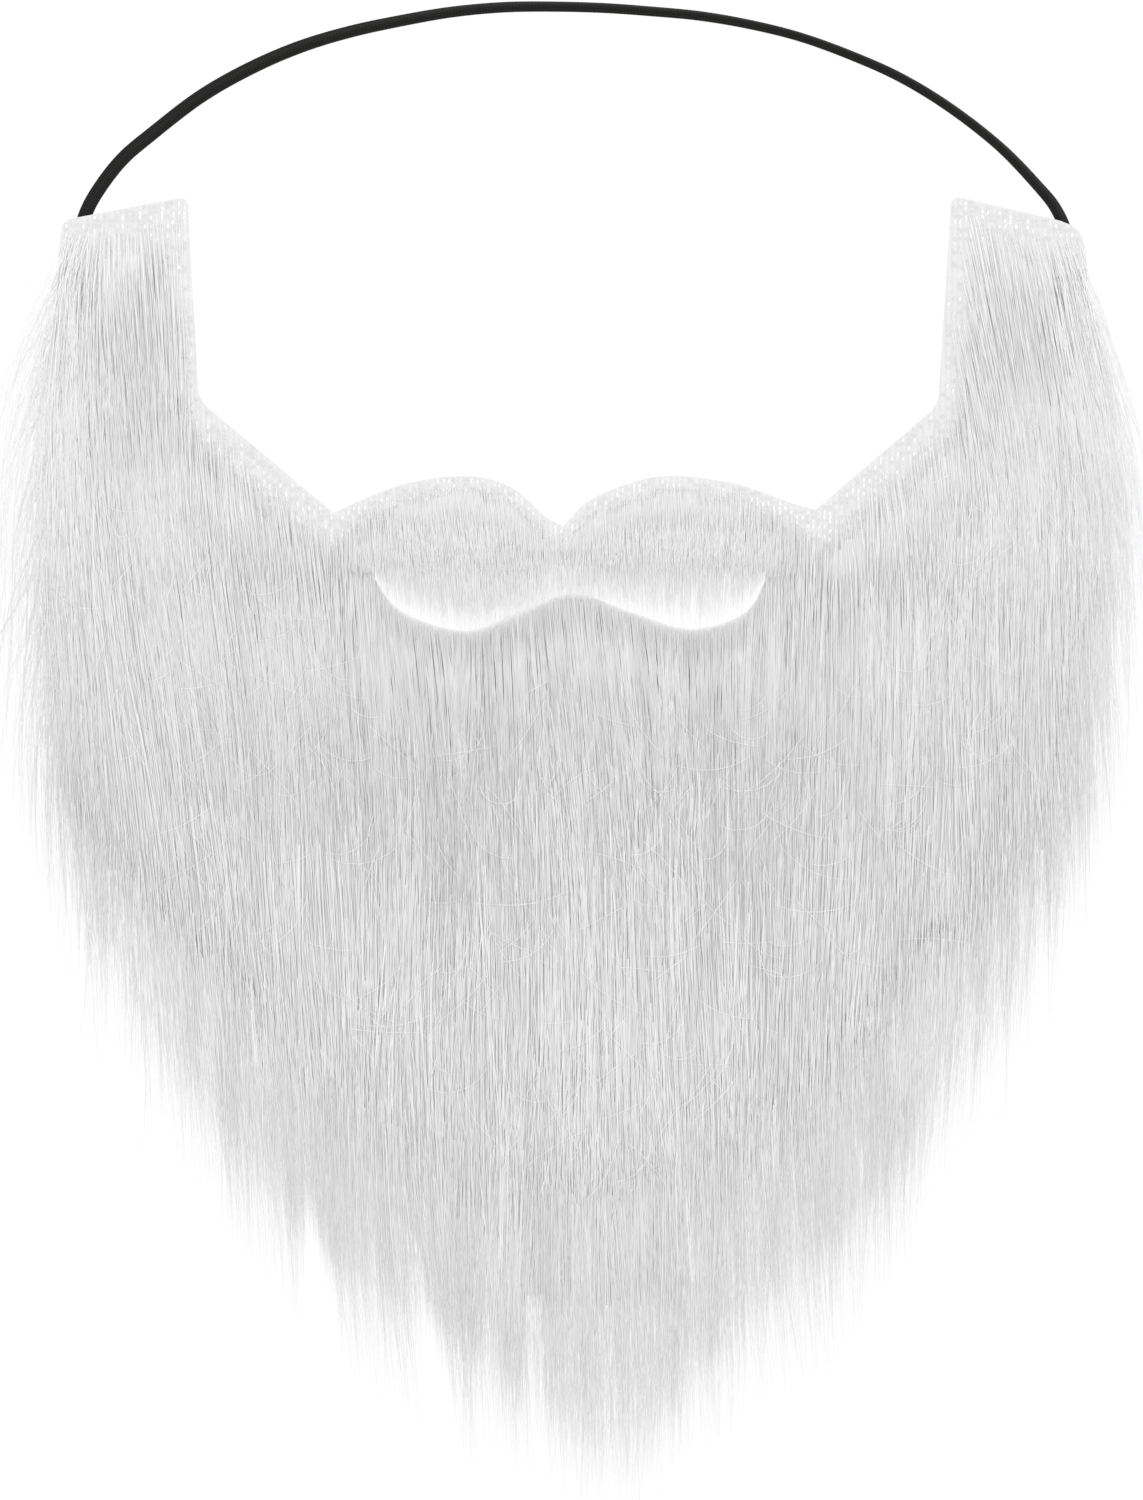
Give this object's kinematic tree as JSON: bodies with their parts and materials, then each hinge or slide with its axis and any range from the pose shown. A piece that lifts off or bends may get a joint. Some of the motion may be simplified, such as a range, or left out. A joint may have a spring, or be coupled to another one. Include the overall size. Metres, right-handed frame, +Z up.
{
  "type": "false beard with moustache",
  "caption": "Full false beard of long white faux fur with moustache, mouth hole and sideburns, worn over the face and held by a black elastic head cord, lying flat.",
  "frame": {"origin": "on the surface that the beard lies on, under the middle of its box without the head cord", "axes": "+Z up out of the fur, +Y from the chin tips to the sideburn tops, +X to the right seen from the fur side"},
  "size_m": [0.2642, 0.346, 0.0135],
  "materials": {
    "ground_cloth": "white open warp-knit ground cloth of faux fur, matt",
    "beard_pile": "long straight white synthetic pile combed downwards, soft sheen",
    "moustache_pile": "short straight white synthetic pile combed downwards, soft sheen",
    "elastic": "black braided elastic cord with fine lengthwise ribs, matt"
  },
  "bodies": {
    "root": {"backing": "ground_cloth", "beard_fur": "beard_pile", "moustache_fur": "moustache_pile", "elastic_cord": "elastic"}
  },
  "joints": []
}
